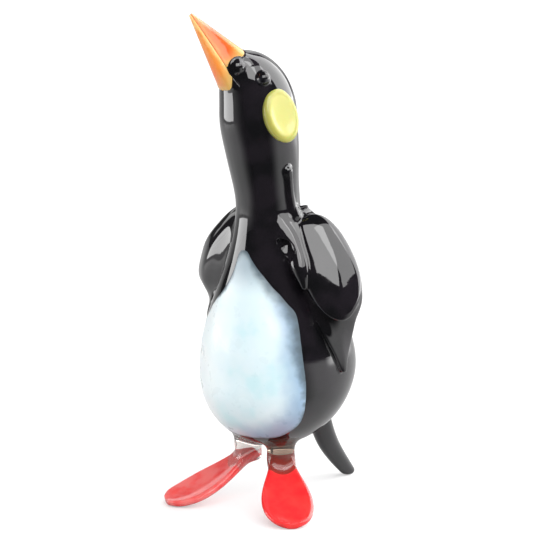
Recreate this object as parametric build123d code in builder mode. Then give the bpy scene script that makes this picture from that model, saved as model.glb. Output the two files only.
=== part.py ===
from build123d import *
import os
from math import cos, pi, radians, sin

# Lampworked glass penguin, put together from separately coloured gathers of solid glass.
# Millimetres. +Z is up, the bird faces -Y, and its own left side is +X.
# Places are written as left, forward and up from the point on the table that lies under
# the middle of the belly. The function spot turns them into the frame of the figure, whose
# origin lies on the table half way between the foremost and the rearmost point.

# Torso, neck and head, one gather of black glass
belly_height = 21.0  # the widest ring of the belly, above the table
belly_radius = 11.8
belly_drop = 11.9  # from the widest ring down to the underside
neck_height = 46.5  # the narrowest ring of the neck
neck_radius = 4.9
head_height = 60.0  # the widest ring of the head
head_radius = 5.9
crown_rise = 10.95  # from the widest ring of the head up to the crown
underside_forward = 1.5
neck_forward = 2.5
head_forward = 4.9
crown_forward = 2.3  # further than the head, the way the bird looks
head_turn_angle = 25.0  # degrees to the bird's right
underside_roundness = 2.0  # exponents of the two domes, 2 for a true ellipse
crown_roundness = 2.4
underside_shares = (0.995, 0.95, 0.86, 0.72, 0.52, 0.27)
shoulder_shares = (0.0, 0.16, 0.32, 0.5, 0.68, 0.84, 1.0)
head_shares = (0.35, 0.7, 1.0)
crown_shares = (0.24, 0.44, 0.62, 0.77, 0.88, 0.95, 0.99)

# White glass laid on the breast and melted in flush
panel_thickness = 1.0
panel_bottom_height = 10.2
panel_height = 29.4
panel_half_width = 10.0
panel_outline_shares = (
    (-0.08, 0.005),
    (0.26, 0.024),
    (0.6, 0.105),
    (0.88, 0.225),
    (1.0, 0.4),
    (0.96, 0.52),
    (0.75, 0.704),
    (0.51, 0.837),
    (0.2, 0.95),
    (-0.18, 1.0),
    (-0.45, 0.96),
    (-0.67, 0.81),
    (-0.86, 0.66),
    (-1.0, 0.42),
    (-0.92, 0.21),
    (-0.6, 0.08),
)

# Wings, each pulled down from a strap on the side of the neck
wing_tip_height = 20.5
wing_rise = 35.0  # from the tip up to the end of the strap, inside the neck
wing_overhang = 3.3  # how far the outermost edge stands out past the belly
wing_thickness = 3.4
# left, forward and up place of the inner edge, then of the outer edge; thickness
wing_rib_shares = (
    ((0.33, 0.42, 1.0), (0.265, 0.34, 1.0), 0.35),
    ((0.42, 0.42, 0.934), (0.33, 0.32, 0.934), 0.42),
    ((0.403, 0.326, 0.859), (0.325, 0.166, 0.868), 0.45),
    ((0.358, 0.32, 0.773), (0.33, 0.038, 0.792), 0.66),
    ((0.288, 0.429, 0.701), (0.36, -0.051, 0.73), 0.85),
    ((0.288, 0.422, 0.625), (0.54, -0.058, 0.678), 0.97),
    ((0.339, 0.358, 0.558), (0.755, -0.064, 0.596), 1.0),
    ((0.435, 0.307, 0.491), (0.91, -0.07, 0.511), 0.97),
    ((0.537, 0.282, 0.42), (0.985, -0.077, 0.42), 0.92),
    ((0.665, 0.262, 0.344), (0.995, -0.07, 0.334), 0.86),
    ((0.781, 0.237, 0.272), (0.93, -0.102, 0.262), 0.78),
    ((0.896, 0.179, 0.191), (0.875, -0.102, 0.181), 0.64),
    ((0.985, 0.09, 0.105), (0.84, -0.077, 0.105), 0.46),
    ((1.03, 0.026, 0.033), (0.83, -0.051, 0.033), 0.25),
)
# along the rib from the inner to the outer edge, forward
wing_section_shares = (
    (-1.0, 0.0),
    (-0.86, 0.62),
    (-0.5, 1.0),
    (0.05, 0.86),
    (0.6, 0.5),
    (0.93, 0.22),
    (1.0, 0.0),
    (0.9, -0.2),
    (0.5, -0.5),
    (0.0, -0.78),
    (-0.5, -0.95),
    (-0.86, -0.6),
)

# Tail, a drawn rod that touches the table behind
tail_root_radius = 1.75
tail_reach = 18.6  # behind the middle of the belly, the rearmost point
tail_root_drop = 6.4  # from the widest ring of the belly down to where the tail leaves it
# backward and upward place of the middle, radius
tail_station_shares = (
    (0.4, 1.22, 1.0),
    (0.48, 1.0, 1.0),
    (0.575, 0.68, 0.98),
    (0.66, 0.46, 0.92),
    (0.77, 0.28, 0.8),
    (0.875, 0.14, 0.68),
    (0.972, 0.022, 0.54),
)

# Legs, two short stubs of clear amber glass
leg_spread = 3.1  # from the middle line of the bird to the middle of a leg, at the ankle
leg_forward = 3.4
leg_top_radius = 2.15
leg_ankle_radius = 1.75
leg_top_height = 12.6
ankle_height = 7.2

# Feet, paddles pressed hollow on top and stood on their toes
left_foot_turn_angle = 44.0  # degrees out from straight ahead
left_foot_length = 14.4
left_foot_roll_angle = 0.0  # degrees that the outer side is lifted
right_foot_turn_angle = 39.0
right_foot_length = 13.0
right_foot_roll_angle = 9.0
foot_half_width = 3.9
foot_thickness = 2.6
toe_height = 0.8  # the middle of the toe's edge above the table, which the toe is ground to
# distance along the foot, height, half width, thickness
foot_station_shares = (
    (-0.07, 1.12, 0.34, 0.7),
    (0.06, 0.95, 0.47, 0.95),
    (0.2, 0.74, 0.66, 1.0),
    (0.36, 0.52, 0.88, 1.0),
    (0.52, 0.33, 1.0, 1.0),
    (0.68, 0.17, 0.98, 0.96),
    (0.82, 0.07, 0.84, 0.9),
    (0.92, 0.02, 0.62, 0.82),
    (0.985, 0.0, 0.3, 0.66),
)
# across, up: a raised rim round a hollow top, and a round underside
foot_section_shares = (
    (-1.0, 0.0),
    (-0.85, 0.44),
    (-0.55, 0.34),
    (0.0, 0.24),
    (0.55, 0.34),
    (0.85, 0.44),
    (1.0, 0.0),
    (0.8, -0.5),
    (0.42, -0.86),
    (0.0, -1.0),
    (-0.42, -0.86),
    (-0.8, -0.5),
)

# Bill, a cone of orange glass in two mandibles
bill_length = 13.0  # from the tip back to its root inside the head
bill_root_radius = 3.55
bill_tip_radius = 0.38
bill_tip_rounding_share = 0.9
bill_raise_angle = 51.8  # degrees above level
bill_start_height = 64.0  # where the line of the bill starts, inside the head
bill_start_forward = 5.9
bill_tip_distance = 17.7  # along that line
mouth_drop = 1.45  # the mouth line, below the middle of the bill at its root
pinch_thickness = 1.25  # at the tip, between the two flats that the pliers left
pinch_taper_angle = 7.0  # degrees between each flat and the middle of the bill
gape_radius = 1.65  # dark drop at each corner of the mouth
gape_along = 6.2  # from the start of the bill's line
gape_aside = 1.75
gape_drop = 0.45  # below the middle of the bill

# Eyes and cheek patches, dots pressed onto the head
eye_radius = 1.05
eye_height = 67.7
eye_turn_angle = 84.0  # degrees round from the line of the bill
eye_embed = 0.05  # the middle of the bead, inside the skin of the head
cheek_height = 60.0
cheek_turn_angle = 96.0
cheek_half_width = 2.85
cheek_half_height = 4.2
cheek_thickness = 1.2
cheek_embed = 1.6  # how far the dot reaches into the head
cheek_tilt_angle = 18.0  # degrees that its face looks upwards
cheek_lean_angle = 8.0  # degrees that its long way leans
cheek_edge_radius = 0.6

overrun = 30.0  # how far a cutting shape passes what it cuts
bill_level = bill_tip_distance * cos(radians(bill_raise_angle))
foremost = bill_start_forward + bill_level * cos(radians(head_turn_angle))
middle_forward = (foremost - tail_reach) / 2

os.makedirs("parts", exist_ok=True)


def spot(left, forward, up):
    """A place in the frame of the figure."""
    return Vector(left, middle_forward - forward, up)


def heading(degrees_left):
    """A level direction, by its angle to the left of straight ahead."""
    return Vector(sin(radians(degrees_left)), -cos(radians(degrees_left)), 0)


def dome(share, roundness):
    """The radius of a dome, as a share, at a share of its rise."""
    return (1 - share**roundness) ** (1 / roundness)


def ease(share):
    """An S-shaped change from 0 to 1."""
    return 0.5 - 0.5 * cos(pi * share)


def between(start, end, share):
    return start + (end - start) * share


def torso_rings(inset):
    """Centre and radius of each ring of the torso, from the underside to the crown."""
    rings = []
    for share in underside_shares:
        height = belly_height - (belly_drop - inset) * share
        radius = (belly_radius - inset) * dome(share, underside_roundness)
        rings.append((spot(0, underside_forward * share, height), radius))
    for share in shoulder_shares:
        height = between(belly_height, neck_height, share)
        radius = between(belly_radius, neck_radius, ease(share)) - inset
        rings.append((spot(0, neck_forward * ease(share), height), radius))
    for share in head_shares:
        height = between(neck_height, head_height, share)
        radius = between(neck_radius, head_radius, ease(share)) - inset
        rings.append((spot(0, between(neck_forward, head_forward, share), height), radius))
    for share in crown_shares:
        height = head_height + (crown_rise - inset) * share
        lean = crown_forward * share**2
        centre = spot(0, head_forward, height) + heading(-head_turn_angle) * lean
        rings.append((centre, (head_radius - inset) * dome(share, crown_roundness)))
    return rings


def head_ring(height):
    """Centre and radius of the head at a height above its widest ring."""
    share = (height - head_height) / crown_rise
    lean = crown_forward * share**2
    centre = spot(0, head_forward, height) + heading(-head_turn_angle) * lean
    return centre, head_radius * dome(share, crown_roundness)


def lofted_torso(inset):
    with BuildPart() as torso:
        for centre, radius in torso_rings(inset):
            with BuildSketch(Plane(centre)):
                Circle(radius)
        loft()
    return torso.part


def bill_plane(distance):
    """A plane across the bill, that far along its line, with its x to the bird's left."""
    level = heading(-head_turn_angle)
    along = level * cos(radians(bill_raise_angle)) + Vector(0, 0, sin(radians(bill_raise_angle)))
    start = spot(0, bill_start_forward, bill_start_height)
    return Plane(start + along * distance, x_dir=Vector(0, 0, 1).cross(level), z_dir=along)


def side_name(side):
    return "left" if side > 0 else "right"


# The whole torso as one form, which the breast panel and the black body share out
torso_form = lofted_torso(0)
torso_core = lofted_torso(panel_thickness)

with BuildPart() as belly_panel:
    with BuildSketch(Plane.XZ.offset(-middle_forward)):
        with BuildLine():
            Spline(
                [
                    (panel_half_width * across, panel_bottom_height + panel_height * up)
                    for across, up in panel_outline_shares
                ],
                periodic=True,
            )
        make_face()
    extrude(amount=overrun)
    add(torso_form, mode=Mode.INTERSECT)
    add(torso_core, mode=Mode.SUBTRACT)
belly_panel.part.label = "belly_panel"
export_step(belly_panel.part, "parts/belly_panel.step")

with BuildPart() as body:
    add(torso_form)
    for side in (1, -1):
        gape = bill_plane(gape_along)
        with Locations(gape.origin + gape.x_dir * (side * gape_aside) - gape.y_dir * gape_drop):
            Sphere(gape_radius)
    add(belly_panel.part, mode=Mode.SUBTRACT)
body.part.label = "body"
export_step(body.part, "parts/body.step")

# Bill
with BuildPart() as bill_cone:
    with BuildSketch(bill_plane(bill_tip_distance - bill_length)):
        Circle(bill_root_radius)
    with BuildSketch(bill_plane(bill_tip_distance - bill_tip_radius)):
        Circle(bill_tip_radius)
    loft()
    fillet(bill_cone.faces().sort_by(Axis.Z)[-1].edges(), bill_tip_radius * bill_tip_rounding_share)
    root = bill_plane(bill_tip_distance - bill_length)
    for side in (1, -1):
        flat = Plane(
            bill_plane(bill_tip_distance).origin + root.x_dir * (side * pinch_thickness / 2),
            x_dir=root.y_dir,
            z_dir=root.x_dir * side + root.z_dir * sin(radians(pinch_taper_angle)),
        )
        split(bisect_by=flat, keep=Keep.BOTTOM)
    add(body.part, mode=Mode.SUBTRACT)

mouth_root = bill_plane(bill_tip_distance - bill_length)
mouth_plane = Plane(
    mouth_root.origin - mouth_root.y_dir * mouth_drop,
    x_dir=mouth_root.x_dir,
    z_dir=mouth_root.y_dir * bill_length - mouth_root.z_dir * mouth_drop,
)

with BuildPart() as upper_mandible:
    add(bill_cone.part)
    split(bisect_by=mouth_plane, keep=Keep.TOP)
upper_mandible.part.label = "upper_mandible"
export_step(upper_mandible.part, "parts/upper_mandible.step")

with BuildPart() as lower_mandible:
    add(bill_cone.part)
    split(bisect_by=mouth_plane, keep=Keep.BOTTOM)
lower_mandible.part.label = "lower_mandible"
export_step(lower_mandible.part, "parts/lower_mandible.step")

# Eyes
for side in (1, -1):
    centre, radius = head_ring(eye_height)
    outward = heading(-head_turn_angle + side * eye_turn_angle)
    with BuildPart() as eye:
        with Locations(centre + outward * (radius - eye_embed)):
            Sphere(eye_radius)
        add(body.part, mode=Mode.SUBTRACT)
    eye.part.label = side_name(side) + "_eye"
    export_step(eye.part, "parts/" + eye.part.label + ".step")

# Cheek patches
for side in (1, -1):
    centre, radius = head_ring(cheek_height)
    outward = heading(-head_turn_angle + side * cheek_turn_angle) * cos(radians(cheek_tilt_angle))
    outward += Vector(0, 0, sin(radians(cheek_tilt_angle)))
    level = Vector(0, 0, 1).cross(outward)
    face = Plane(centre + outward * (radius + cheek_thickness), x_dir=level, z_dir=outward)
    with BuildPart() as cheek:
        with BuildSketch(face):
            Ellipse(cheek_half_width, cheek_half_height, rotation=side * cheek_lean_angle)
        extrude(amount=-cheek_thickness - cheek_embed)
        fillet(cheek.faces().sort_by(Axis(face.origin, outward))[-1].edges(), cheek_edge_radius)
        add(body.part, mode=Mode.SUBTRACT)
    cheek.part.label = side_name(side) + "_cheek_patch"
    export_step(cheek.part, "parts/" + cheek.part.label + ".step")

# Wings, the right one the mirror image of the left
wing_ribs = []
for inner_shares, outer_shares, thick in wing_rib_shares:
    ends = [
        spot(reach * left, belly_radius * forward, wing_tip_height + wing_rise * up)
        for reach, (left, forward, up) in (
            (belly_radius, inner_shares),
            (belly_radius + wing_overhang, outer_shares),
        )
    ]
    wing_ribs.append((ends[0], ends[1], wing_thickness * thick))

with BuildPart() as left_wing:
    for number, (inner, outer, thick) in enumerate(wing_ribs):
        above = wing_ribs[max(number - 1, 0)]
        below = wing_ribs[min(number + 1, len(wing_ribs) - 1)]
        spine = (above[0] + above[1]) - (below[0] + below[1])
        chord = outer - inner
        ahead = spine.cross(chord)
        with BuildSketch(Plane((inner + outer) / 2, x_dir=chord, z_dir=chord.cross(ahead))):
            with BuildLine():
                Spline(
                    [
                        (chord.length / 2 * along, thick / 2 * forward)
                        for along, forward in wing_section_shares
                    ],
                    periodic=True,
                )
            make_face()
    loft()
    add(torso_form, mode=Mode.SUBTRACT)
left_wing.part.label = "left_wing"
export_step(left_wing.part, "parts/left_wing.step")

with BuildPart() as right_wing:
    add(left_wing.part.mirror(Plane.YZ))
right_wing.part.label = "right_wing"
export_step(right_wing.part, "parts/right_wing.step")

# Tail
with BuildPart() as tail:
    tail_root_height = belly_height - tail_root_drop
    places = [
        spot(0, -tail_reach * back, tail_root_height * up) for back, up, _ in tail_station_shares
    ]
    for number, (_, _, thick) in enumerate(tail_station_shares):
        before = places[max(number - 1, 0)]
        after = places[min(number + 1, len(places) - 1)]
        with BuildSketch(Plane(places[number], x_dir=(1, 0, 0), z_dir=after - before)):
            Circle(tail_root_radius * thick)
    loft()
    add(torso_form, mode=Mode.SUBTRACT)
    split(bisect_by=Plane.XY, keep=Keep.TOP)
tail.part.label = "tail"
export_step(tail.part, "parts/tail.step")

# Feet, with the legs that carry them
for side in (1, -1):
    turn = left_foot_turn_angle if side > 0 else right_foot_turn_angle
    length = left_foot_length if side > 0 else right_foot_length
    roll = left_foot_roll_angle if side > 0 else right_foot_roll_angle
    level = heading(side * turn)
    outward = Vector(0, 0, side).cross(level)
    across = outward * cos(radians(roll)) + Vector(0, 0, sin(radians(roll)))
    with BuildPart() as foot:
        places = [
            spot(side * leg_spread, leg_forward, between(toe_height, ankle_height, up))
            + level * (length * along)
            for along, up, _, _ in foot_station_shares
        ]
        for number, (_, _, wide, thick) in enumerate(foot_station_shares):
            before = places[max(number - 1, 0)]
            after = places[min(number + 1, len(places) - 1)]
            with BuildSketch(Plane(places[number], x_dir=across, z_dir=(after - before) * side)):
                with BuildLine():
                    Spline(
                        [
                            (foot_half_width * wide * out, foot_thickness * thick / 2 * up)
                            for out, up in foot_section_shares
                        ],
                        periodic=True,
                    )
                make_face()
        loft()
        split(bisect_by=Plane.XY, keep=Keep.TOP)
    foot.part.label = side_name(side) + "_foot"
    export_step(foot.part, "parts/" + foot.part.label + ".step")

    with BuildPart() as leg:
        with BuildSketch(Plane(spot(side * leg_spread, leg_forward, ankle_height))):
            Circle(leg_ankle_radius)
        with BuildSketch(Plane(spot(side * leg_spread, leg_forward, leg_top_height))):
            Circle(leg_top_radius)
        loft()
        add(torso_form, mode=Mode.SUBTRACT)
        add(foot.part, mode=Mode.SUBTRACT)
    leg.part.label = side_name(side) + "_leg"
    export_step(leg.part, "parts/" + leg.part.label + ".step")
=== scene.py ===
from math import cos, pi, radians, sin

import bpy
import numpy as np
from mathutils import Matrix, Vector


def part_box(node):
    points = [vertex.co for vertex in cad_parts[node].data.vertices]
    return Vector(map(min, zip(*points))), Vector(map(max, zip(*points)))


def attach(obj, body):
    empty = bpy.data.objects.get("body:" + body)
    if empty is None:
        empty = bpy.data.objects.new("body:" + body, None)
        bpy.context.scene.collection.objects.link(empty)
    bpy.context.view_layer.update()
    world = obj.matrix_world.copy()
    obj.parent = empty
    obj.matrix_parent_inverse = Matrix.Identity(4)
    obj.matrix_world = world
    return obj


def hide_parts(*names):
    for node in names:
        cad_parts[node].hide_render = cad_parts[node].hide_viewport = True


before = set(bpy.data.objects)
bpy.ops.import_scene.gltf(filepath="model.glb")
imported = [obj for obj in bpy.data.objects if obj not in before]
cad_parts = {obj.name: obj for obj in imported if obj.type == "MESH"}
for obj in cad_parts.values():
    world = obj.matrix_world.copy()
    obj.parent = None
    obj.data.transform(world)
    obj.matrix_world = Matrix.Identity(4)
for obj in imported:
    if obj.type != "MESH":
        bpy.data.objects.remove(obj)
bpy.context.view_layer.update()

import openvdb as vdb
from mathutils import Vector

# Lampworked glass penguin. Every gather of glass is worked out in millimetres as a smooth form, and
# written in metres. Those that stand out are melted into what carries them, with a small fillet.
MM = 0.001

# Torso, neck and head
belly_height = 21.0
belly_radius = 11.8
belly_drop = 11.9
neck_height = 46.5
neck_radius = 4.9
head_height = 60.0
head_radius = 5.9
crown_rise = 10.95
underside_forward = 1.5
neck_forward = 2.5
head_forward = 4.9
crown_forward = 2.3
head_turn_angle = 25.0
underside_roundness = 2.0
crown_roundness = 2.4
underside_shares = (0.995, 0.95, 0.86, 0.72, 0.52, 0.27)
shoulder_shares = (0.0, 0.16, 0.32, 0.5, 0.68, 0.84, 1.0)
head_shares = (0.35, 0.7, 1.0)
crown_shares = (0.24, 0.44, 0.62, 0.77, 0.88, 0.95, 0.99)

# White panel on the breast
panel_bottom_height = 10.2
panel_height = 29.4
panel_half_width = 10.0
panel_thickness = 0.9
panel_swell = 0.07  # how far the white glass stands proud of the black
panel_sink = 0.012  # how far its edge dips under the black
panel_edge = 0.7  # width of the band over which it rises
panel_centre = (0.0, 23.0)
panel_crowding = 1.6  # how much closer its rings lie towards its edge
# the ragged stretch of its border: turns and reach of the waves, where it starts above the panel's
# centre, and how far up and how far to the left its waves grow to their full reach
ragged_waves = ((3, 0.3), (7, 0.2), (13, 0.07), (23, 0.03))
ragged_start = 3.0
ragged_rise = 6.0
ragged_aside = 2.0
panel_outline_shares = (
    (0.0, 0.036),
    (0.26, 0.036),
    (0.48, 0.045),
    (0.65, 0.073),
    (0.8, 0.113),
    (0.93, 0.18),
    (1.0, 0.262),
    (1.015, 0.367),
    (0.99, 0.451),
    (0.95, 0.534),
    (0.882, 0.625),
    (0.792, 0.705),
    (0.692, 0.776),
    (0.55, 0.846),
    (0.415, 0.9),
    (0.26, 0.95),
    (0.11, 0.99),
    (0.0, 1.03),
    (-0.1, 1.025),
    (-0.17, 0.966),
    (-0.24, 0.89),
    (-0.385, 0.81),
    (-0.625, 0.719),
    (-0.83, 0.62),
    (-0.95, 0.51),
    (-1.0, 0.4),
    (-0.98, 0.28),
    (-0.87, 0.17),
    (-0.62, 0.085),
    (-0.3, 0.045),
)

# Wings
wing_tip_height = 20.5
wing_rise = 35.0
wing_overhang = 3.3
wing_thickness = 3.4
wing_rib_shares = (
    ((0.34, 0.30, 0.738), (0.39, 0.04, 0.75), 0.3),
    ((0.288, 0.429, 0.701), (0.36, -0.051, 0.73), 0.85),
    ((0.288, 0.422, 0.625), (0.54, -0.058, 0.678), 0.97),
    ((0.339, 0.358, 0.558), (0.755, -0.064, 0.596), 1.0),
    ((0.435, 0.307, 0.491), (0.91, -0.07, 0.511), 0.97),
    ((0.537, 0.282, 0.42), (0.985, -0.077, 0.42), 0.92),
    ((0.665, 0.262, 0.344), (0.995, -0.07, 0.334), 0.86),
    ((0.835, 0.295, 0.272), (0.885, -0.165, 0.262), 0.64),
    ((0.955, 0.245, 0.191), (0.83, -0.17, 0.181), 0.48),
    ((1.01, 0.12, 0.105), (0.82, -0.105, 0.105), 0.36),
    ((1.03, 0.026, 0.033), (0.83, -0.051, 0.033), 0.24),
)
# how full the face of the wing is at each rib
wing_face_swell = (0.7, 0.55, 0.75, 1.05, 1.35, 1.5, 1.2, 0.8, 0.7, 0.8, 1)
# along the rib from the inner to the outer edge, then backward
wing_section_shares = (
    (-1.0, 0.0),
    (-0.86, 0.62),
    (-0.5, 1.0),
    (0.05, 0.86),
    (0.6, 0.5),
    (0.93, 0.22),
    (1.0, 0.0),
    (0.9, -0.3),
    (0.5, -0.66),
    (0.05, -0.86),
    (-0.4, -0.66),
    (-0.84, -0.36),
)
# the bead down the wing's front edge and the strap on the neck: left, forward, up, radius
wing_bead_places = (
    (2.94, 3.90, 44.71, 2.2),
    (3.45, 3.46, 43.31, 2.8),
    (4.43, 3.45, 42.41, 2.6),
    (6.11, 4.01, 40.94, 1.86),
    (7.10, 4.37, 39.66, 1.6),
    (7.81, 4.80, 38.32, 1.5),
    (8.50, 5.15, 37.0, 1.05),
    (9.05, 5.4, 35.6, 0.55),
)
strap_places = (
    (4.8, 4.55, 53.0, 0.72),
    (5.3, 4.25, 51.58, 0.62),
    (5.8, 3.95, 49.88, 0.6),
    (6.18, 3.62, 48.3, 0.65),
    (6.5, 3.25, 46.85, 0.75),
    (6.6, 2.85, 45.68, 0.95),
)
right_strap_setback = 3.4  # how much farther back the right strap lies than the left one
strap_seat_share = 0.2  # how far out of the neck its middle lies, as a share of its radius
strap_draw_rounds = 4
strap_corners = ((2.0, 7.0, 54.5), (9.0, -1.0, 54.5))  # the grid's block takes in these two places
# the plump middle of the wing's face: its centre, which way it looks, how it lies and its half sizes
face_place = (10.9, 1.95, 38.1)
face_look = (0.633, 0.656, 0.411)
face_lie = (0.455, 0.115, -0.883)
face_reach = (4.1, 8.4, 1.3)
# the thumb mark between the bead and the inner edge
thumb_place = (5.6, 5.45, 41.23)
thumb_look = (0.3, 0.84, 0.45)
thumb_lie = (0.661, 0.156, -0.734)
thumb_reach = (1.3, 2.2, 0.8)
# a rod is a row of balls, and round each the distance to it is worked out in a small block
rod_balls = 44
rod_room = 2.2
rod_far = 3.0
wing_fillet = 0.5
face_fillet = 1.7
bead_fillet = 0.2
strap_fillet = 0.8
thumb_rounding = 0.4
wing_room = 1.6

# Tail
tail_root_radius = 1.75
tail_reach = 18.6
tail_root_drop = 6.4
tail_fillet = 1.2
tail_rounding = 0.5
tail_room = 1.6
tail_station_shares = (
    (0.4, 1.22, 1.0),
    (0.48, 1.0, 1.0),
    (0.575, 0.68, 0.98),
    (0.66, 0.46, 0.92),
    (0.77, 0.28, 0.8),
    (0.875, 0.14, 0.68),
    (0.972, 0.022, 0.54),
)

# Legs and feet
leg_spread = 3.1
leg_forward = 3.4
leg_top_radius = 2.3
leg_ankle_radius = 1.95
leg_top_height = 12.6
ankle_height = 7.2
leg_overlap = 0.6  # how far the leg runs on below the ankle
leg_fillet = 1.1
ankle_fillet = 1.3
leg_skirt = 1.4  # how far its fillets spread round it
leg_room = 1.8
foot_turn_angles = {"left": 44.0, "right": 39.0}
foot_lengths = {"left": 14.4, "right": 13.0}
foot_roll_angles = {"left": 0.0, "right": 9.0}
foot_half_width = 3.9
foot_thickness = 2.6
toe_height = 0.8
foot_rounding = 0.3
foot_room = 0.8
foot_station_shares = (
    (-0.07, 1.12, 0.34, 0.7),
    (0.06, 0.95, 0.47, 0.95),
    (0.2, 0.74, 0.66, 1.0),
    (0.36, 0.52, 0.88, 1.0),
    (0.52, 0.33, 1.0, 1.0),
    (0.68, 0.17, 0.98, 0.96),
    (0.82, 0.07, 0.84, 0.9),
    (0.92, 0.02, 0.62, 0.82),
    (0.985, 0.0, 0.3, 0.66),
)
foot_section_shares = (
    (-1.0, 0.0),
    (-0.85, 0.44),
    (-0.55, 0.34),
    (0.0, 0.24),
    (0.55, 0.34),
    (0.85, 0.44),
    (1.0, 0.0),
    (0.8, -0.5),
    (0.42, -0.86),
    (0.0, -1.0),
    (-0.42, -0.86),
    (-0.8, -0.5),
)

# Bill
bill_length = 13.0
bill_root_radius = 3.55
bill_tip_radius = 0.38
bill_raise_angle = 51.8
bill_start_height = 64.0
bill_start_forward = 5.9
bill_tip_distance = 17.7
mouth_drop = 1.45
pinch_thickness = 1.25
pinch_taper_angle = 7.0
pinch_rounding = 0.5
lip_rounding = 0.16
bill_fillet = 0.9
bill_room = 1.5
gape_radius = 1.3
gape_along = 6.5
gape_aside = 1.6
gape_drop = -0.25
gape_fillet = 0.45
gape_room = 1.5
# where the black glass of the head has crept up the root: a distance, and its slope across the bill
collar_upper = (7.1, 0.0)
collar_lower = (7.4, 1.03)
collar_rounding = 0.2

# Eyes and cheek patches
eye_radius = 1.05
eye_height = 67.7
eye_turn_angle = 84.0
eye_embed = 0.05
eye_fillet = 0.3
eye_room = 1.2
cheek_height = 60.0
cheek_turn_angle = 96.0
cheek_half_width = 2.85
cheek_half_height = 4.2
cheek_thickness = 1.2
cheek_tilt_angle = 18.0
cheek_lean_angle = 8.0
# painted shade: the side and under side of the cheek dot get this value, which the yellow glass paints
# darkest
rim_shade_limit = 1.5  # what its under side is painted, past its rim at 1
# out from the middle of the dot, up from the skin of the head
cheek_profile_shares = (
    (0.0, 0.86),
    (0.3, 0.87),
    (0.6, 0.93),
    (0.8, 0.97),
    (0.92, 0.84),
    (1.0, 0.5),
    (0.98, 0.1),
    (0.9, -0.5),
    (0.6, -1.1),
    (0.0, -1.3),
)

# How finely the skins are drawn: rings along, and points round
torso_samples = 4000
torso_rings = 340
torso_points = 288
panel_rings = 90
panel_points = 420
wing_rings = 360
wing_points = 120
tail_rings = 240
tail_points = 96
foot_rings = 260
foot_points = 144
cheek_rings = 90
cheek_points = 160

# How finely the melted pieces are worked out
voxel = 0.12
band = 14  # in voxels
sink = 0.004  # a piece dips this far under its host where its fillet ends
root_depth = 0.4  # how far a piece reaches into its host
blur_rounds = 3
long_blur_rounds = 5  # for the tail and the feet


def spot(left, forward, up):
    """A place in the frame of the figure, in millimetres."""
    return np.array((left, middle_forward - forward, up), float)


def heading(degrees_left):
    """A level direction, by its angle to the left of straight ahead."""
    return np.array((sin(radians(degrees_left)), -cos(radians(degrees_left)), 0.0))


def raised(level, degrees):
    """A level direction, turned upwards by an angle."""
    return level * cos(radians(degrees)) + np.array((0, 0, sin(radians(degrees))))


def unit(vector):
    return vector / np.linalg.norm(vector)


def dome(share, roundness):
    return (1 - share**roundness) ** (1 / roundness)


def ease(share):
    return 0.5 - 0.5 * cos(pi * share)


def between(start, end, share):
    return start + (end - start) * share


middle_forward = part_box("body")[1].y / MM - belly_radius


def through(knots, values, at, closed=False):
    """Cubic spline through the values, natural at its ends or closed to a ring."""
    values = np.asarray(values, float)
    count = len(knots) - 1
    gap = np.diff(knots)
    slope = np.diff(values, axis=0) / gap[:, None]
    system = np.zeros((count + 1, count + 1))
    side = np.zeros_like(values)
    for i in range(0 if closed else 1, count):
        before = (i - 1) % count
        after = (i + 1) % count if closed else i + 1
        system[i, before] += gap[i - 1]
        system[i, i] += 2 * (gap[i - 1] + gap[i])
        system[i, after] += gap[i]
        side[i] = 6 * (slope[i] - slope[i - 1])
    system[count, count] = 1
    if closed:
        system[count, 0] = -1
    else:
        system[0, 0] = 1
    bend = np.linalg.solve(system, side)
    cell = np.clip(np.searchsorted(knots, at, side="right") - 1, 0, count - 1)
    past = (at - knots[cell])[:, None]
    ahead = (knots[cell + 1] - at)[:, None]
    width = gap[cell][:, None]
    curve = (bend[cell] * ahead**3 + bend[cell + 1] * past**3) / (6 * width)
    curve += (values[cell] / width - bend[cell] * width / 6) * ahead
    return curve + (values[cell + 1] / width - bend[cell + 1] * width / 6) * past


def way_past(places, number):
    """From the place before a place to the one after it."""
    return places[min(number + 1, len(places) - 1)] - places[max(number - 1, 0)]


def chord_knots(points):
    return np.append(0.0, np.cumsum(np.linalg.norm(np.diff(points, axis=0), axis=1)))


def smooth_ring(points, count):
    """Samples of the smooth closed curve through the points."""
    points = np.asarray(points, float)
    points = np.vstack((points, points[:1]))
    knots = chord_knots(points)
    return through(knots, points, np.linspace(0, knots[-1], count, endpoint=False), closed=True)


def smooth_stack(rings, count):
    """A smooth skin of count rings through a few rings of like points."""
    rings = np.asarray(rings, float)
    steps = np.linalg.norm(np.diff(rings, axis=0), axis=2).mean(axis=1)
    knots = np.append(0.0, np.cumsum(steps))
    flat = rings.reshape(len(rings), -1)
    return through(knots, flat, np.linspace(0, knots[-1], count)).reshape(count, -1, 3)


def skin(rings):
    """Points, quads and triangles of a closed skin over a stack of rings."""
    layers, around = rings.shape[:2]
    points = np.vstack((rings.reshape(-1, 3), rings[0].mean(axis=0), rings[-1].mean(axis=0)))
    here = np.arange(around)
    there = (here + 1) % around
    lower = np.stack((here, there), 1)
    upper = np.stack((there, here), 1) + around
    quads = np.concatenate([np.hstack((lower, upper)) + k * around for k in range(layers - 1)])
    first, last = layers * around, layers * around + 1
    top = (layers - 1) * around
    first_fan = np.stack((np.full(around, first), there, here), 1)
    last_fan = np.stack((np.full(around, last), top + here, top + there), 1)
    return points, quads, np.concatenate((first_fan, last_fan))


def volume_of(points, faces):
    total = 0.0
    for k in range(1, faces.shape[1] - 1):
        a, b, c = points[faces[:, 0]], points[faces[:, k]], points[faces[:, k + 1]]
        total += np.einsum("ij,ij->i", a, np.cross(b, c)).sum() / 6
    return total


def linked(name, data):
    """Put an object in the scene."""
    made = bpy.data.objects.new(name, data)
    bpy.context.scene.collection.objects.link(made)
    return made


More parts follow.
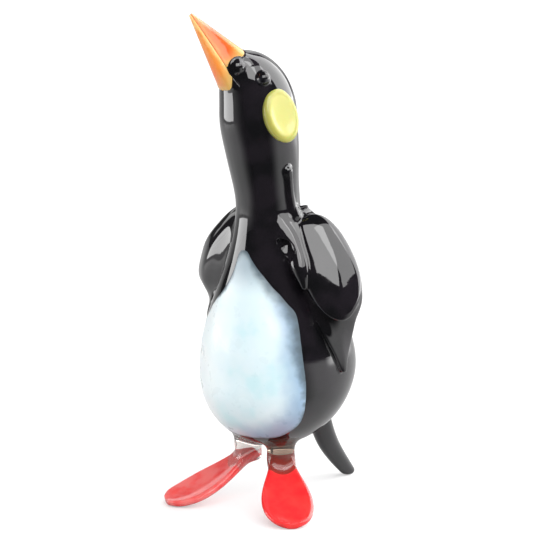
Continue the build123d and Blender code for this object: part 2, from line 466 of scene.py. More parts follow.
def mesh_piece(name, points, *faces):
    """A smooth-shaded mesh object, in metres, with its quads and triangles turned outwards."""
    if sum(volume_of(points, part) for part in faces) < 0:
        faces = [part[:, ::-1] for part in faces]
    loops = np.concatenate([part.ravel() for part in faces])
    sizes = np.concatenate([np.full(len(part), part.shape[1]) for part in faces])
    mesh = bpy.data.meshes.new(name)
    mesh.vertices.add(len(points))
    mesh.vertices.foreach_set("co", (points * MM).astype(np.float32).ravel())
    mesh.loops.add(len(loops))
    mesh.loops.foreach_set("vertex_index", loops.astype(np.int32))
    mesh.polygons.add(len(sizes))
    starts = np.append(0, np.cumsum(sizes)[:-1])
    mesh.polygons.foreach_set("loop_start", starts.astype(np.int32))
    mesh.polygons.foreach_set("use_smooth", np.ones(len(sizes), bool))
    mesh.update(calc_edges=True)
    mesh.validate()
    return linked(name, mesh)


def paint(piece, name, values):
    """A number on every point of a piece, which its material reads by name."""
    layer = piece.data.attributes.new(name, "FLOAT", "POINT")
    layer.data.foreach_set("value", np.asarray(values, np.float32))


def places_of(piece):
    """The points of a piece, in millimetres."""
    flat = np.empty(len(piece.data.vertices) * 3, np.float32)
    piece.data.vertices.foreach_get("co", flat)
    return flat.reshape(-1, 3).astype(float) / MM


def hand_over(piece, material, slot, *nodes):
    """Dress a finished piece and give it to the frame."""
    piece.data.materials.append(material)
    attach(piece, "root")
    if nodes:
        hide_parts(*nodes)


# Distance fields on a grid: inside a form they are negative
grid_step = vdb.createLinearTransform(voxelSize=voxel)
far_away = voxel * band


def level_set(points, quads, triangles):
    """The distance to a skin, whichever way round its faces were made."""
    if volume_of(points, quads) < 0:
        quads, triangles = quads[:, ::-1], triangles[:, ::-1]
    return vdb.FloatGrid.createLevelSetFromPolygons(
        points.astype(np.float32),
        triangles=triangles.astype(np.uint32),
        quads=quads.astype(np.uint32),
        transform=grid_step,
        halfWidth=float(band),
    )


class Window:
    """A block of the grid round some points, with room to spare."""

    def __init__(self, points, room):
        self.first = np.floor((points.min(axis=0) - room) / voxel).astype(int)
        last = np.ceil((points.max(axis=0) + room) / voxel).astype(int)
        self.corner = tuple(self.first.tolist())
        self.shape = tuple((last - self.first + 1).tolist())

    def read(self, grid):
        values = np.empty(self.shape, np.float32)
        grid.copyToArray(values, ijk=self.corner)
        return values

    def places(self):
        axes = [(np.arange(n) + start) * voxel for n, start in zip(self.shape, self.first)]
        return np.stack(np.meshgrid(*axes, indexing="ij"), axis=-1)


def melt(one, other, reach):
    """Join two fields with a fillet that reaches that far."""
    near = np.clip(reach - np.abs(one - other), 0, None) / reach
    return np.minimum(one, other) - near * near * reach / 4


def carve(one, other, reach):
    """What two fields share, with a rounded edge."""
    return -melt(-one, -other, reach)


def melted(host, own, reach):
    """The part of a joined form that belongs to the piece: down to its end in the host."""
    field = melt(host, own, reach) + sink
    field = np.maximum(field, -host - root_depth)
    return np.maximum(field, own - reach - voxel)


def blur(points, quads, rounds):
    """Take the grid's steps out of a mesh."""
    start = quads.ravel()
    end = np.roll(quads, -1, axis=1).ravel()
    ends = np.concatenate((start, end))
    mates = np.concatenate((end, start))
    degree = np.bincount(ends, minlength=len(points))[:, None]
    for _ in range(rounds):
        pulled = np.stack([np.bincount(ends, points[mates, axis], len(points)) for axis in range(3)], 1)
        points = (points + pulled / degree) / 2
    return points


def piece_from(name, field, view, rounds=blur_rounds):
    """A mesh of the skin of a field."""
    grid = vdb.FloatGrid(far_away)
    grid.transform = grid_step
    grid.copyFromArray(field.astype(np.float32), ijk=view.corner)
    points, quads = grid.convertToQuads(0.0)
    return mesh_piece(name, blur(points.astype(float), quads.astype(int), rounds), quads.astype(int))


# The line of the torso: place to the left, forward, up and radius of its rings
def torso_stations():
    level = heading(-head_turn_angle)
    rings = []
    for share in (1.0,) + underside_shares:
        radius = belly_radius * dome(share, underside_roundness)
        rings.append((0, underside_forward * share, belly_height - belly_drop * share, radius))
    for share in shoulder_shares:
        height = between(belly_height, neck_height, share)
        rings.append((0, neck_forward * ease(share), height, between(belly_radius, neck_radius, ease(share))))
    for share in head_shares:
        height = between(neck_height, head_height, share)
        radius = between(neck_radius, head_radius, ease(share))
        rings.append((0, between(neck_forward, head_forward, share), height, radius))
    for share in crown_shares + (1.0,):
        lean = crown_forward * share**2
        radius = head_radius * dome(share, crown_roundness)
        height = head_height + crown_rise * share
        rings.append((level[0] * lean, head_forward - level[1] * lean, height, radius))
    return np.array(rings, float)


def torso_line(count):
    """Many smooth stations from the lowest point to the crown."""
    rings = torso_stations()
    flip = np.array((1, 1, 1, -1.0))
    rings = np.vstack((rings[3:0:-1] * flip, rings, rings[-2:-5:-1] * flip))
    knots = chord_knots(rings)
    return through(knots, rings, np.linspace(knots[3], knots[-4], count))


torso_fine = torso_line(torso_samples)


def torso_at(height):
    """Left and forward place of the middle of the torso at a height, and its radius."""
    return [np.interp(height, torso_fine[:, 2], torso_fine[:, part]) for part in (0, 1, 3)]


def make_torso():
    line = torso_line(torso_rings)[1:-1]
    turn = np.linspace(0, 2 * pi, torso_points, endpoint=False)
    left = line[:, 0:1] + line[:, 3:4] * np.sin(turn)
    forward = line[:, 1:2] + line[:, 3:4] * np.cos(turn)
    up = np.repeat(line[:, 2:3], len(turn), axis=1)
    return skin(np.stack((left, middle_forward - forward, up), axis=2))


torso = make_torso()
torso_grid = level_set(*torso)
body = mesh_piece("body_glass", *torso)


def make_panel():
    """The white panel: a shell over the breast that dips under the black at its edge."""
    outline = smooth_ring(
        [
            (panel_half_width * across, panel_bottom_height + panel_height * up)
            for across, up in panel_outline_shares
        ],
        panel_points,
    )
    # the upper left border is a little ragged, where the white was dragged over the black
    around = np.linspace(0, 2 * pi, panel_points, endpoint=False)
    ragged = sum(np.sin(around * turns + turns * turns) * reach for turns, reach in ragged_waves)
    above = outline[:, 1] - panel_centre[1] - ragged_start
    high = np.clip(above / ragged_rise, 0, 1) * np.clip(outline[:, 0] / ragged_aside, 0, 1)
    centre = np.array(panel_centre)
    outward = outline - centre
    outward /= np.linalg.norm(outward, axis=1)[:, None]
    outline = outline + outward * (ragged * high)[:, None]
    out = 1 - (1 - np.linspace(0, 1, panel_rings)) ** panel_crowding
    flat = centre + out[:, None, None] * (outline - centre)
    to_edge = (1 - out[:, None]) * np.linalg.norm(outline - centre, axis=1)
    rise = np.clip(to_edge / panel_edge, 0, 1)
    lift = -panel_sink + (panel_swell + panel_sink) * rise * rise * (3 - 2 * rise)
    outer = breast(flat, lift)
    inner = breast(flat[::-1], np.full_like(lift, -panel_thickness))
    piece = mesh_piece("belly_panel_glass", *skin(np.concatenate((outer[1:], inner[:-1]))))
    edge = np.concatenate((to_edge[1:], to_edge[::-1][:-1])).ravel()
    paint(piece, "edge", np.append(edge, [edge.max()] * 2))
    return piece


def breast(flat, lift):
    """Places on the breast, in front of places given as left and up."""
    left, up = flat[..., 0], flat[..., 1]
    axis_left, axis_forward, radius = torso_at(up)
    forward = axis_forward + np.sqrt(np.clip((radius + lift) ** 2 - (left - axis_left) ** 2, 0, None))
    return np.stack((left, middle_forward - forward, up), axis=-1)


panel = make_panel()


# Wings
def rib_end(reach, left, forward, up):
    return spot(reach * left, belly_radius * forward, wing_tip_height + wing_rise * up)


def wing_skin(side):
    ribs = [
        (rib_end(belly_radius, *inner), rib_end(belly_radius + wing_overhang, *outer), wing_thickness * thick)
        for inner, outer, thick in wing_rib_shares
    ]
    sums = [inner + outer for inner, outer, _ in ribs]
    section = smooth_ring(wing_section_shares, wing_points)
    rings = []
    for number, (inner, outer, thick) in enumerate(ribs):
        chord = outer - inner
        back = unit(np.cross(-way_past(sums, number), chord))
        swell = np.where(section[:, 1:] < 0, wing_face_swell[number], 1.0)
        deep = section[:, 1:] * swell * back * thick / 2
        rings.append(sums[number] / 2 + section[:, :1] * chord / 2 + deep)
    rings = smooth_stack(rings, wing_rings)
    rings[..., 0] *= side
    return skin(rings)


def placed(stations, side, setback=0.0):
    """Stations of left, forward, up and radius as points of the scene with a radius."""
    return np.array(
        [(*spot(left * side, forward - setback, up), radius) for left, forward, up, radius in stations]
    )


def drawn_in(view, host, line):
    """A rod's line, moved until its balls sit in the surface of the host."""
    slopes = np.gradient(host, voxel)
    drawn = line.copy()
    for ball in drawn:
        for _ in range(strap_draw_rounds):
            cell = tuple(np.round(ball[:3] / voxel).astype(int) - view.first)
            slope = np.array([part[cell] for part in slopes])
            ball[:3] -= slope * (host[cell] - strap_seat_share * ball[3])
    return drawn


def rod_field(view, line):
    """Distance to a smooth rod with round ends along a line of points with radii."""
    knots = chord_knots(line[:, :3])
    line = through(knots, line, np.linspace(0, knots[-1], rod_balls))
    places = view.places()
    field = np.full(view.shape, rod_far)
    for ball in line:
        low = ((ball[:3] - ball[3] - rod_room) / voxel).astype(int) - view.first
        high = ((ball[:3] + ball[3] + rod_room) / voxel).astype(int) - view.first
        part = tuple(slice(max(a, 0), max(b, 0)) for a, b in zip(low, high))
        gap = places[part] - ball[:3]
        gap = np.sqrt(np.einsum("...i,...i", gap, gap)) - ball[3]
        field[part] = np.minimum(field[part], gap)
    return field


def pebble(view, place, look, lie, reach):
    """Distance to an ellipsoid that looks one way and lies along another, both as left, forward, up."""
    axes = np.array([unit(np.cross(lie, look)), lie, look]) * (1, -1, 1)
    near = (view.places() - spot(*place)) @ axes.T / reach
    length = np.linalg.norm(near, axis=-1)
    slope = np.linalg.norm(near / reach, axis=-1)
    return length * (length - 1) / np.maximum(slope, 1e-9)


def make_wing(name, side):
    """A fin with its strap. Only the left one shows its face, so only it has the bead and the marks."""
    blade = wing_skin(side)
    top = np.array([spot(side * left, forward, up) for left, forward, up in strap_corners])
    view = Window(np.vstack((blade[0], top)), wing_room)
    own = view.read(level_set(*blade))
    if side > 0:
        face = pebble(view, face_place, face_look, face_lie, face_reach)
        thumb = pebble(view, thumb_place, thumb_look, thumb_lie, thumb_reach)
        own = melt(own, face, face_fillet)
        own = melt(own, rod_field(view, placed(wing_bead_places, side)), bead_fillet)
        own = carve(own, -thumb, thumb_rounding)
    host = view.read(torso_grid)
    strap = placed(strap_places, side, 0.0 if side > 0 else right_strap_setback)
    own = melt(own, rod_field(view, drawn_in(view, host, strap)), strap_fillet)
    return piece_from(name, melted(host, own, wing_fillet), view)


left_wing = make_wing("left_wing_glass", 1)
right_wing = make_wing("right_wing_glass", -1)


# Tail
def make_tail():
    root_height = belly_height - tail_root_drop
    places = [spot(0, -tail_reach * back, root_height * up) for back, up, _ in tail_station_shares]
    turn = np.linspace(0, 2 * pi, tail_points, endpoint=False)
    across = np.array((1.0, 0, 0))
    rings = []
    for number, (_, _, thick) in enumerate(tail_station_shares):
        over = np.cross(unit(way_past(places, number)), across)
        round_it = np.cos(turn)[:, None] * across + np.sin(turn)[:, None] * over
        rings.append(places[number] + tail_root_radius * thick * round_it)
    rod = skin(smooth_stack(rings, tail_rings))
    view = Window(rod[0], tail_room)
    field = melted(view.read(torso_grid), view.read(level_set(*rod)), tail_fillet)
    field = carve(field, -view.places()[..., 2] + sink, tail_rounding)
    return piece_from("tail_glass", field, view, long_blur_rounds)


tail = make_tail()


# Feet and legs
def foot_skin(name):
    side = 1 if name == "left" else -1
    level = heading(side * foot_turn_angles[name])
    across = raised(np.cross((0, 0, side), level), foot_roll_angles[name])
    places = [
        spot(side * leg_spread, leg_forward, between(toe_height, ankle_height, up))
        + level * (foot_lengths[name] * along)
        for along, up, _, _ in foot_station_shares
    ]
    section = smooth_ring(foot_section_shares, foot_points)
    rings = []
    for number, (_, _, wide, thick) in enumerate(foot_station_shares):
        ahead = unit(way_past(places, number) * side)
        width = unit(across - ahead * np.dot(across, ahead))
        over = np.cross(ahead, width)
        rings.append(
            places[number]
            + section[:, :1] * width * foot_half_width * wide
            + section[:, 1:] * over * foot_thickness * thick / 2
        )
    return skin(smooth_stack(rings, foot_rings))


def make_foot(name):
    foot = foot_skin(name)
    grid = level_set(*foot)
    view = Window(foot[0], foot_room)
    field = carve(view.read(grid), -view.places()[..., 2], foot_rounding)
    return piece_from(name + "_foot_glass", field, view, long_blur_rounds), grid


def make_leg(name, foot_grid):
    side = 1 if name == "left" else -1
    low = spot(side * leg_spread, leg_forward, ankle_height - leg_overlap)
    high = spot(side * leg_spread, leg_forward, leg_top_height)
    reach = np.array((leg_top_radius, leg_top_radius, 0))
    view = Window(np.array((low - reach, high + reach)), leg_room)
    places = view.places()
    away = np.hypot(places[..., 0] - low[0], places[..., 1] - low[1])
    share = (places[..., 2] - low[2]) / (high[2] - low[2])
    own = away - between(leg_ankle_radius, leg_top_radius, share)
    own = np.maximum(own, np.maximum(places[..., 2] - high[2], low[2] - places[..., 2]))
    top = view.read(torso_grid)
    foot = view.read(foot_grid)
    field = melt(melt(own, top, leg_fillet), foot, ankle_fillet) + sink
    field = np.maximum(field, -np.minimum(top, foot) - root_depth)
    field = np.maximum(field, own - leg_skirt)
    return piece_from(name + "_leg_glass", field, view)


feet = {}
legs = {}
for name in ("left", "right"):
    feet[name], foot_grid = make_foot(name)
    legs[name] = make_leg(name, foot_grid)


# Bill, with the drops at the corners of the mouth
bill_level = heading(-head_turn_angle)
bill_along = raised(bill_level, bill_raise_angle)
bill_across = unit(np.cross((0, 0, 1.0), bill_level))
bill_over = np.cross(bill_along, bill_across)
bill_start = spot(0, bill_start_forward, bill_start_height)
bill_root_distance = bill_tip_distance - bill_length


def bill_frame(places):
    """Place across, over and along the bill."""
    away = places - bill_start
    return away @ bill_across, away @ bill_over, away @ bill_along


def bill_field(places):
    across, over, along = bill_frame(places)
    tip = bill_tip_distance - bill_tip_radius
    slope = (bill_root_radius - bill_tip_radius) / (tip - bill_root_distance)
    radius = bill_tip_radius + slope * (tip - along)
    away = np.hypot(across, over)
    cone = (away - radius) / np.hypot(1, slope)
    cone = np.where(along > tip, np.hypot(away, along - tip) - bill_tip_radius, cone)
    cone = np.maximum(cone, bill_root_distance - along)
    taper = sin(radians(pinch_taper_angle))
    for side in (1, -1):
        flat = across * side - pinch_thickness / 2 + (along - bill_tip_distance) * taper
        cone = carve(cone, flat / np.hypot(1, taper), pinch_rounding)
    return cone


def mouth_field(places):
    """Distance above the mouth line."""
    _, over, along = bill_frame(places)
    rise = mouth_drop / bill_length
    return (over + mouth_drop - (along - bill_root_distance) * rise) / np.hypot(1, rise)


bill_tip = bill_start + bill_along * bill_tip_distance
bill_root = bill_start + bill_along * bill_root_distance
bill_ends = np.array((bill_root - bill_root_radius, bill_root + bill_root_radius, bill_tip))
bill_view = Window(bill_ends, bill_room)
bill_places = bill_view.places()
bill_whole = melted(bill_view.read(torso_grid), bill_field(bill_places), bill_fillet)
mouth = mouth_field(bill_places)


def collar_field(places, upper):
    """Distance towards the tip from where the black collar ends."""
    _, over, along = bill_frame(places)
    start, slope = collar_upper if upper else collar_lower
    return (along - start - slope * over) / np.hypot(1, slope)


def make_mandible(name, upper):
    half = carve(bill_whole, -mouth if upper else mouth, lip_rounding)
    collar = collar_field(bill_places, upper)
    piece = piece_from(name, carve(half, -collar, collar_rounding), bill_view)
    places = places_of(piece)
    paint(piece, "mouth", np.abs(mouth_field(places)))
    paint(piece, "reach", collar_field(places, upper))
    root = carve(half, collar, collar_rounding)
    return piece, piece_from(name.replace("glass", "collar"), root, bill_view)


upper_mandible, upper_collar = make_mandible("upper_mandible_glass", True)
lower_mandible, lower_collar = make_mandible("lower_mandible_glass", False)


def make_ball(name, centre, radius, room, fillet, on_bill=False):
    """A small ball of glass, melted into the head, or into the head and the bill."""
    view = Window(centre[None], radius + room)
    own = np.linalg.norm(view.places() - centre, axis=-1) - radius
    host = view.read(torso_grid)
    if on_bill:
        host = np.minimum(host, bill_field(view.places()))
    return piece_from(name, melted(host, own, fillet), view)


def make_drop(name, side):
    centre = bill_start + bill_along * gape_along + bill_across * side * gape_aside - bill_over * gape_drop
    return make_ball(name, centre, gape_radius, gape_room, gape_fillet, on_bill=True)


drops = [make_drop("left_mouth_drop_glass", 1), make_drop("right_mouth_drop_glass", -1)]


# Eyes and cheek patches
def head_at(height, turn):
    """The middle and the radius of the head at a height, and the level way out at an angle."""
    share = (height - head_height) / crown_rise
    middle = spot(0, head_forward, height) + heading(-head_turn_angle) * (crown_forward * share**2)
    return middle, head_radius * dome(share, crown_roundness), heading(-head_turn_angle + turn)


def make_eye(name, side):
    middle, radius, outward = head_at(eye_height, side * eye_turn_angle)
    return make_ball(name, middle + outward * (radius - eye_embed), eye_radius, eye_room, eye_fillet)


def make_cheek(name, side):
    middle, radius, level_out = head_at(cheek_height, side * cheek_turn_angle)
    outward = raised(level_out, cheek_tilt_angle)
    seat = middle + outward * radius
    level = unit(np.cross((0, 0, 1.0), outward))
    over = np.cross(outward, level)
    lean = radians(side * cheek_lean_angle)
    wide = (level * cos(lean) + over * sin(lean)) * cheek_half_width
    high = (over * cos(lean) - level * sin(lean)) * cheek_half_height
    profile = np.array(cheek_profile_shares)
    knots = chord_knots(profile)
    line = through(knots, profile, np.linspace(0, knots[-1], cheek_rings))
    turn = np.linspace(0, 2 * pi, cheek_points, endpoint=False)
    rings = (
        seat
        + line[1:-1, None, :1] * (np.cos(turn)[:, None] * wide + np.sin(turn)[:, None] * high)
        + line[1:-1, None, 1:] * outward * cheek_thickness
    )
    piece = mesh_piece(name, *skin(rings))
    reach = np.repeat(line[1:-1, 0], len(turn))
    top = np.repeat(line[1:-1, 1], len(turn))
    # the side and under side get the value that the yellow glass paints as shade
    paint(piece, "rim", np.concatenate((np.where(top > 0, reach, rim_shade_limit), (0, rim_shade_limit))))
    return piece


eyes = [make_eye("left_eye_glass", 1), make_eye("right_eye_glass", -1)]
cheeks = [make_cheek("left_cheek_patch_glass", 1), make_cheek("right_cheek_patch_glass", -1)]


# Materials
class Recipe:
    """A short way to write the nodes of a material or a world round one shader."""

    def __init__(self, owner, kind="BSDF_PRINCIPLED"):
        owner.use_nodes = True
        self.material = owner
        self.tree = owner.node_tree
        self.shader = next(n for n in self.tree.nodes if n.type == kind)
        self.place = self.add("ShaderNodeTexCoord").outputs["Object"]

    def add(self, kind, **settings):
        node = self.tree.nodes.new(kind)
        for key, value in settings.items():
            setattr(node, key, value)
        return node

    def join(self, source, target):
        self.tree.links.new(source, target)

    def set(self, **values):
        for key, value in values.items():
            self.shader.inputs[key.replace("_", " ")].default_value = value
        return self

    def noise(self, size, detail=2.0, seed=0.0):
        """Soft noise whose lumps are about that many millimetres across."""
        move = self.add("ShaderNodeMapping")
        move.inputs["Location"].default_value = (seed, seed * 0.7, -seed)
        self.join(self.place, move.inputs["Vector"])
        node = self.add("ShaderNodeTexNoise")
        node.inputs["Scale"].default_value = 1 / (size * MM)
        node.inputs["Detail"].default_value = detail
        self.join(move.outputs["Vector"], node.inputs["Vector"])
        return node.outputs["Fac"]

    def drift(self, size, detail, seed, reach):
        """Noise about nought, whose reach up and down is half of that number."""
        return self.times(self.plus(self.noise(size, detail, seed), -0.5), reach)

    def ramp(self, source, *stops):
        node = self.add("ShaderNodeValToRGB")
        node.color_ramp.interpolation = "EASE"
        elements = node.color_ramp.elements
        while len(elements) < len(stops):
            elements.new(0.5)
        for element, (position, colour) in zip(elements, stops):
            element.position = position
            element.color = colour + (1.0,)
        self.join(source, node.inputs["Fac"])
        return node.outputs["Color"]

    def levels(self, source, low, high, to_low=0.0, to_high=1.0):
        """A soft step between two values of the source."""
        node = self.add("ShaderNodeMapRange", interpolation_type="SMOOTHSTEP")
        for key, value in zip(("From Min", "From Max", "To Min", "To Max"), (low, high, to_low, to_high)):
            node.inputs[key].default_value = value
        self.join(source, node.inputs["Value"])
        return node.outputs["Result"]

    def mix(self, share, one, other):
        """One colour going over to the other as the share rises."""
        node = self.add("ShaderNodeMix", data_type="RGBA")
        # of its sockets, 6 and 7 take the colours, and 2 gives the result
        for socket, value in ((node.inputs[6], one), (node.inputs[7], other)):
            if isinstance(value, tuple):
                socket.default_value = value + (1.0,)
            else:
                self.join(value, socket)
        self.join(share, node.inputs[0])
        return node.outputs[2]

    def maths(self, kind, one, other):
        node = self.add("ShaderNodeMath", operation=kind)
        for socket, value in zip(node.inputs, (one, other)):
            if isinstance(value, (int, float)):
                socket.default_value = value
            else:
                self.join(value, socket)
        return node.outputs["Value"]

    def times(self, one, *others):
        for other in others:
            one = self.maths("MULTIPLY", one, other)
        return one

    def plus(self, one, other):
        return self.maths("ADD", one, other)

    def painted(self, name):
        return self.add("ShaderNodeAttribute", attribute_name=name).outputs["Fac"]

    def vector(self, kind, source, other=None):
        """A step of vector maths, whose result is a number for a length or a dot product."""
        node = self.add("ShaderNodeVectorMath", operation=kind)
        self.join(source, node.inputs[0])
        if other is not None:
            node.inputs[1].default_value = other
        return node.outputs["Value" if kind in ("LENGTH", "DOT_PRODUCT") else "Vector"]

    def along(self, origin, *way):
        """Distance along a way from a place, in millimetres."""
        away = self.vector("SUBTRACT", self.place, tuple(origin * MM))
        return self.vector("DOT_PRODUCT", away, tuple(np.array(way) / MM))

    def colour(self, source):
        self.join(source, self.shader.inputs["Base Color"])

    def undulate(self, size, height, fine_size=0.5, fine_height=0.0):
        """The slight unevenness that a torch leaves, as lumps of a size and height in millimetres."""
        lumps = self.times(self.noise(size, 1.0, 3.0), height)
        if fine_height:
            fine = self.times(self.noise(fine_size, 2.0, 8.0), fine_height)
            lumps = self.plus(lumps, fine)
        bump = self.add("ShaderNodeBump")
        bump.inputs["Distance"].default_value = MM
        bump.inputs["Strength"].default_value = 1.0
        self.join(lumps, bump.inputs["Height"])
        self.join(bump.outputs["Normal"], self.shader.inputs["Normal"])

    def haze(self, size, low, high):
        """Roughness that drifts between two values, as smears on polished glass do."""
        smears = self.levels(self.noise(size, 3.0, 5.0), 0.3, 0.7, low, high)
        self.join(smears, self.shader.inputs["Roughness"])


def recipe(name):
    return Recipe(bpy.data.materials.new(name))


def black_glass():
    made = recipe("black_glass").set(IOR=1.68)
    made.colour(made.ramp(made.noise(5.0), (0.35, (0.004, 0.004, 0.005)), (0.65, (0.011, 0.009, 0.012))))
    made.haze(3.0, 0.02, 0.06)
    made.undulate(2.2, 0.012, 0.7, 0.0015)
    return made.material


def bead_glass():
    made = recipe("bead_glass").set(IOR=1.6)
    made.colour(made.ramp(made.noise(0.8), (0.3, (0.003, 0.003, 0.004)), (0.7, (0.010, 0.010, 0.014))))
    made.haze(1.0, 0.02, 0.05)
    made.undulate(0.8, 0.003)
    return made.material


def white_glass():
    """Opal: painted light makes it whitest on the bird's right, painted shade makes it bluer to its left and
    low down; thin and grey at the border.
    """
    made = recipe("white_glass").set(IOR=1.4, Subsurface_Weight=0.3, Subsurface_Scale=0.6 * MM)
    made.set(Subsurface_Radius=(1.0, 1.2, 1.4))
    origin = spot(0, 0, 24)
    mottle = made.ramp(
        made.noise(6.0, 3.0),
        (0.3, (0.60, 0.81, 0.85)),
        (0.5, (0.72, 0.85, 0.89)),
        (0.72, (0.80, 0.89, 0.93)),
    )
    # painted light: whiter towards the bird's right
    across = made.plus(made.along(origin, 1.0, 0.0, 0.0), made.drift(9.0, 2.0, 4.0, 9.0))
    tone = made.mix(made.levels(across, -7.0, 1.0, 0.8, 0.0), mottle, (0.90, 0.96, 0.98))
    # painted shade: a blue band inside the left border
    inside = made.plus(made.painted("edge"), made.drift(3.0, 2.0, 2.0, 2.0))
    left_side = made.levels(made.along(origin, 1.0, 0.0, -0.2), 1.0, 6.0)
    blue = made.times(made.levels(inside, 0.3, 3.6, 0.9, 0.0), left_side)
    tone = made.mix(blue, tone, (0.30, 0.44, 0.60))
    # greyer low down, as painted shade, and greyer at the top
    low = made.levels(made.along(origin, 0.25, 0.0, -1.0), 9.0, 13.5, 0.0, 0.5)
    tone = made.mix(low, tone, (0.30, 0.40, 0.52))
    high = made.levels(made.along(origin, 0.0, 0.0, 1.0), 9.5, 14.5, 0.0, 0.8)
    tone = made.mix(high, tone, (0.34, 0.42, 0.48))
    # thin at the border, most of all high up on the left, where the black shows through
    edge = made.plus(made.painted("edge"), made.drift(1.6, 2.0, 2.0, 1.1))
    width = made.levels(made.along(origin, 0.7, 0.0, 0.7), 2.0, 8.0, 0.55, 1.9)
    thick = made.levels(made.maths("DIVIDE", edge, width), 0.0, 1.0)
    made.colour(made.mix(thick, (0.10, 0.135, 0.16), tone))
    made.haze(2.5, 0.25, 0.4)
    made.undulate(2.5, 0.01)
    return made.material


def red_glass():
    """Red, with a painted sheen: paler patches in the foot on the bird's right."""
    made = recipe("red_glass").set(IOR=1.5, Subsurface_Weight=0.5, Subsurface_Scale=1.0 * MM)
    made.set(Subsurface_Radius=(2.0, 0.25, 0.2))
    deep = made.ramp(made.noise(3.0, 3.0), (0.3, (0.78, 0.025, 0.03)), (0.7, (0.90, 0.05, 0.045)))
    # painted sheen: the foot on the bird's right is painted paler red in patches
    painted_sheen_side = made.levels(made.along(spot(-2, 0, 0), -1.0, 0.0, 0.0), 0.0, 2.0)
    patchy = made.levels(made.noise(2.5, 3.0, 2.0), 0.3, 0.6, 0.35, 0.9)
    made.colour(made.mix(made.times(painted_sheen_side, patchy), deep, (0.86, 0.21, 0.20)))
    made.haze(2.0, 0.03, 0.09)
    made.undulate(1.6, 0.008)
    return made.material


def orange_glass(name, stops):
    """Glass of the bill: colours from the mouth line outwards, paler towards the root; the pale colours next
    to the mouth line are a painted highlight.
    """
    made = recipe(name).set(IOR=1.5, Subsurface_Weight=0.35, Subsurface_Scale=0.5 * MM)
    made.set(Subsurface_Radius=(1.6, 0.8, 0.4))
    streak = made.drift(1.8, 3.0, 1.0, 1.1)
    across = made.levels(made.plus(made.painted("mouth"), streak), 0.0, 3.2)
    pale = made.levels(made.plus(made.painted("reach"), streak), 0.2, 2.6, 1.0, 0.0)
    made.colour(made.mix(pale, made.ramp(across, *stops), (0.62, 0.40, 0.13)))
    made.haze(1.5, 0.03, 0.1)
    made.undulate(1.5, 0.006)
    return made.material


def yellow_glass():
    """Opal yellow, with painted shade: darker towards the rim and under it."""
    made = recipe("yellow_glass").set(IOR=1.5, Subsurface_Weight=0.3, Subsurface_Scale=0.5 * MM)
    rim = made.plus(made.painted("rim"), made.times(made.noise(1.4, 2.0), 0.12))
    made.colour(
        made.ramp(
            made.levels(rim, 0.0, rim_shade_limit),
            (0.0, (0.56, 0.54, 0.19)),
            (0.5, (0.58, 0.56, 0.21)),
            (0.68, (0.40, 0.39, 0.09)),
            (1.0, (0.26, 0.26, 0.06)),
        )
    )
    made.haze(1.0, 0.06, 0.14)
    made.undulate(1.2, 0.006)
    return made.material


def amber_glass():
    """Clear glass, darker in the leg on the bird's left."""
    made = recipe("amber_glass").set(IOR=1.5, Transmission_Weight=0.9)
    patchy = made.ramp(made.noise(2.0, 2.0), (0.3, (0.93, 0.84, 0.80)), (0.7, (0.98, 0.94, 0.90)))
    left_side = made.levels(made.along(spot(0, 0, 0), 1.0, 0.0, 0.0), 0.0, 2.0)
    made.colour(made.mix(left_side, patchy, (0.42, 0.30, 0.23)))
    made.haze(1.0, 0.02, 0.06)
    made.undulate(1.2, 0.01)
    return made.material


# the first three stops, paler, next to the mouth line, are a painted highlight on the flank of the upper
# mandible
upper_stops_with_painted_highlight = (
    (0.0, (0.97, 0.36, 0.17)),
    (0.1, (0.97, 0.27, 0.14)),
    (0.32, (0.97, 0.24, 0.13)),
    (0.5, (0.95, 0.12, 0.03)),
    (0.72, (0.93, 0.15, 0.03)),
    (1.0, (0.88, 0.25, 0.05)),
)
# the first stop, pale, on the mouth line itself, is a painted highlight along the groove
lower_stops_with_painted_highlight = (
    (0.0, (0.98, 0.55, 0.22)),
    (0.12, (0.93, 0.33, 0.07)),
    (0.35, (0.88, 0.26, 0.04)),
    (0.65, (0.94, 0.17, 0.03)),
    (1.0, (0.95, 0.16, 0.05)),
)
black = black_glass()
bead = bead_glass()
red = red_glass()
yellow = yellow_glass()
amber = amber_glass()
upper_orange = orange_glass("orange_glass", upper_stops_with_painted_highlight)
lower_orange = orange_glass("amber_orange_glass", lower_stops_with_painted_highlight)

hand_over(body, black, "black_glass", "body")
hand_over(panel, white_glass(), "white_glass", "belly_panel")
hand_over(left_wing, black, "black_glass", "left_wing")
hand_over(right_wing, black, "black_glass", "right_wing")
hand_over(tail, black, "black_glass", "tail")
hand_over(upper_mandible, upper_orange, "orange_glass", "upper_mandible")
hand_over(lower_mandible, lower_orange, "orange_glass", "lower_mandible")
for number, name in enumerate(("left", "right")):
    hand_over(eyes[number], bead, "bead_glass", name + "_eye")
    hand_over(cheeks[number], yellow, "yellow_glass", name + "_cheek_patch")
    hand_over(feet[name], red, "red_glass", name + "_foot")
    hand_over(legs[name], amber, "amber_glass", name + "_leg")
for extra in drops + [upper_collar, lower_collar]:
    hand_over(extra, black, "black_glass")

# Camera
view_azimuth = 37.0
view_elevation = 14.3
view_distance = 3.0
view_field = 0.08165  # what the picture's width spans at the target
view_depth = 20.0
sensor = 36.0
target = Vector((-0.966, middle_forward - 0.728, 35.7)) * MM


def direction(azimuth, elevation):
    """A direction by its angle round from straight ahead towards the bird's left, and its rise."""
    return Vector(raised(heading(azimuth), elevation))


camera_data = bpy.data.cameras.new("camera")
camera = linked("camera", camera_data)
bpy.context.scene.camera = camera
camera_data.sensor_width = sensor
camera_data.lens = sensor * view_distance / view_field
camera_data.clip_end = view_depth
towards = direction(view_azimuth, view_elevation)
camera.location = target + towards * view_distance
camera.rotation_euler = towards.to_track_quat("Z", "Y").to_euler()

# Light: five soft boxes, their azimuths counted from the camera's, with sizes in metres
figure_middle = Vector((0, 0, 0.045))
wing_middle = Vector((0, 0, 0.0415))


